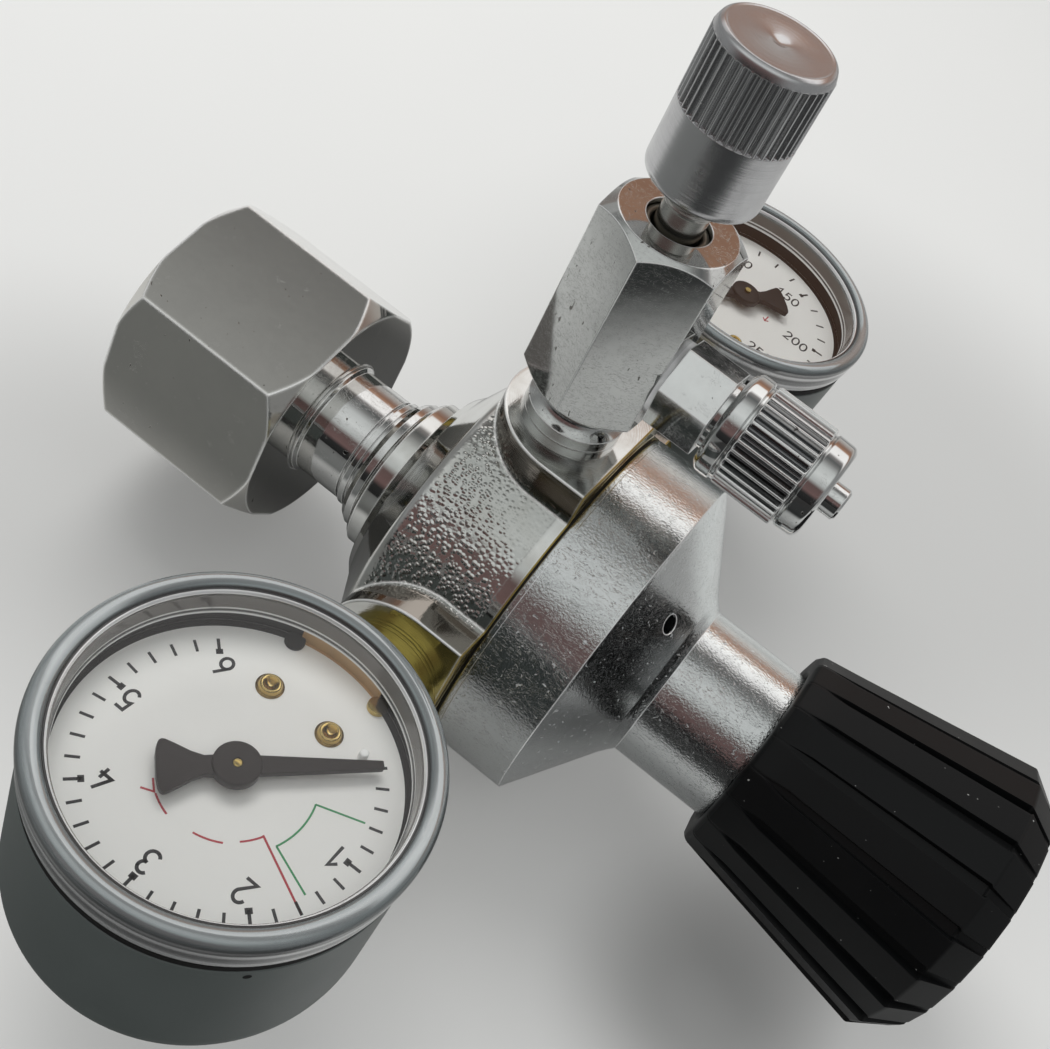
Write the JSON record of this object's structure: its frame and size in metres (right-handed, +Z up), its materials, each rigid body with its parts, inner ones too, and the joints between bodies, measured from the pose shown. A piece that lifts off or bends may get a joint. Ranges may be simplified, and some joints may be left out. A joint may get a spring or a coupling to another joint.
{
  "type": "gas pressure reducing valve",
  "caption": "Cylinder pressure reducing valve with union nut inlet, black adjusting knob, two dial gauges, and a needle valve with a hose outlet.",
  "frame": {"origin": "centre of the union nut's open mouth, on the main axis", "axes": "+X along the main axis from the cylinder connection to the adjusting knob, +Z up along the needle valve, low pressure gauge on -Y and high pressure gauge on +Y"},
  "size_m": [0.131, 0.1581, 0.1039],
  "materials": {
    "plated_body": "nickel-chrome plating over a cast and turned surface",
    "plated_bonnet": "satin nickel-chrome plating",
    "plated_nut": "bright nickel-chrome plating",
    "steel": "turned and ground",
    "knob_plastic": "satin moulded, black",
    "turned_aluminium": "turned",
    "brass": "turned",
    "rubber": "matt black",
    "seal_plastic": "plain",
    "copper_alloy": "drawn tube",
    "case_plastic": "satin moulded, dark grey-green",
    "clear_window": "clear moulded plastic",
    "dial_white": "white enamel with printed scale",
    "pointer_dark": "dark brown"
  },
  "bodies": {
    "regulator": {"body": "plated_body", "bonnet": "plated_bonnet", "diaphragm": "rubber", "inlet_stem": "plated_body", "inlet_seal": "seal_plastic", "inlet_filter": "brass", "seat_nozzle": "brass", "valve_body": "plated_body", "outlet_fitting": "plated_nut", "outlet_seal": "seal_plastic", "main_spring": "steel", "poppet_spring": "steel", "low_socket": "brass", "low_gauge_seal": "seal_plastic", "low_bourdon_tube": "copper_alloy", "low_case": "case_plastic", "low_lens_ring": "clear_window", "low_dial": "dial_white", "low_dial_screws": "brass", "low_movement": "brass", "high_socket": "brass", "high_gauge_seal": "seal_plastic", "high_bourdon_tube": "copper_alloy", "high_case": "case_plastic", "high_lens_ring": "clear_window", "high_dial": "dial_white", "high_dial_screws": "brass", "high_movement": "brass"},
    "slip_ring": {"inlet_slip_ring": "steel"},
    "union_nut": {"inlet_nut": "plated_nut"},
    "button": {"spring_button": "brass"},
    "knob": {"adjusting_knob": "knob_plastic", "adjusting_spindle": "steel", "knob_insert": "brass", "knob_screw": "steel", "knob_cap": "knob_plastic"},
    "diaphragm_group": {"diaphragm_plate": "turned_aluminium", "push_pin": "steel", "diaphragm_nut": "steel"},
    "shutter": {"poppet": "brass", "poppet_seal": "seal_plastic"},
    "valve_ring": {"needle_oring": "rubber"},
    "valve_needle": {"needle": "steel", "valve_knob": "turned_aluminium", "valve_set_screw": "steel"},
    "clamp_ring": {"outlet_clamp_ring": "brass"},
    "hose_nut": {"outlet_nut": "plated_nut"},
    "low_gear": {"low_sector": "brass"},
    "low_needle": {"low_pointer": "pointer_dark", "low_pinion": "brass"},
    "high_gear": {"high_sector": "brass"},
    "high_needle": {"high_pointer": "pointer_dark", "high_pinion": "brass"}
  },
  "joints": [
    {"name": "nut_slide", "type": "slide", "parent": "regulator", "child": "slip_ring", "axis": [1, 0, 0], "range_m": [0, 0.009]},
    {"name": "nut_turn", "type": "hinge", "parent": "slip_ring", "child": "union_nut", "pos_m": [0.012, 0, 0], "axis": [1, 0, 0], "continuous": true},
    {"name": "button_slide", "type": "slide", "parent": "regulator", "child": "button", "axis": [1, 0, 0], "range_m": [-0.006, 0.0015], "deforming": ["main_spring"]},
    {"name": "knob_turn", "type": "hinge", "parent": "button", "child": "knob", "pos_m": [0.11, 0, 0], "axis": [1, 0, 0], "range_deg": [-1440, 360]},
    {"name": "diaphragm_slide", "type": "slide", "parent": "regulator", "child": "diaphragm_group", "axis": [1, 0, 0], "range_m": [-0.0006, 0], "stiffness_N_per_m": 1000, "springref_m": 0.001, "deforming": ["diaphragm"]},
    {"name": "shutter_slide", "type": "slide", "parent": "regulator", "child": "shutter", "axis": [1, 0, 0], "range_m": [-0.0006, 0], "deforming": ["poppet_spring"]},
    {"name": "valve_slide", "type": "slide", "parent": "regulator", "child": "valve_ring", "axis": [0, 0, 1], "range_m": [-0.0028, 0.0007]},
    {"name": "valve_turn", "type": "hinge", "parent": "valve_ring", "child": "valve_needle", "pos_m": [0.0544, 0, 0.045], "axis": [0, 0, 1], "range_deg": [-1440, 360]},
    {"name": "clamp_slide", "type": "slide", "parent": "regulator", "child": "clamp_ring", "axis": [1, 0, 0], "range_m": [0, 0.002]},
    {"name": "hose_nut_turn", "type": "hinge", "parent": "clamp_ring", "child": "hose_nut", "pos_m": [0.077, 0, 0.0399], "axis": [1, 0, 0], "range_deg": [0, 720]},
    {"name": "low_gear_turn", "type": "hinge", "parent": "regulator", "child": "low_gear", "pos_m": [0.0555, -0.0505, 0], "axis": [0, 0, 1], "range_deg": [0, 30], "stiffness_Nm_per_rad": 0.001, "springref_deg": -11.46},
    {"name": "low_needle_turn", "type": "hinge", "parent": "regulator", "child": "low_needle", "pos_m": [0.0555, -0.0596, 0], "axis": [0, 0, 1], "range_deg": [-270, 0]},
    {"name": "high_gear_turn", "type": "hinge", "parent": "regulator", "child": "high_gear", "pos_m": [0.0554, 0.0494, 0], "axis": [0.0541, 0, 0.9985], "range_deg": [0, 30], "stiffness_Nm_per_rad": 0.001, "springref_deg": -11.46},
    {"name": "high_needle_turn", "type": "hinge", "parent": "regulator", "child": "high_needle", "pos_m": [0.0554, 0.0585, 0], "axis": [0.0541, 0, 0.9985], "range_deg": [-270, 0]}
  ],
  "couplings": [
    {"joint": "button_slide", "follows": "knob_turn", "m_per_rad": 0.00023873},
    {"joint": "shutter_slide", "follows": "diaphragm_slide", "ratio": 1},
    {"joint": "valve_slide", "follows": "valve_turn", "m_per_rad": 0.00011141},
    {"joint": "clamp_slide", "follows": "hose_nut_turn", "m_per_rad": 0.00015915},
    {"joint": "low_needle_turn", "follows": "low_gear_turn", "ratio": -9},
    {"joint": "high_needle_turn", "follows": "high_gear_turn", "ratio": -9}
  ]
}
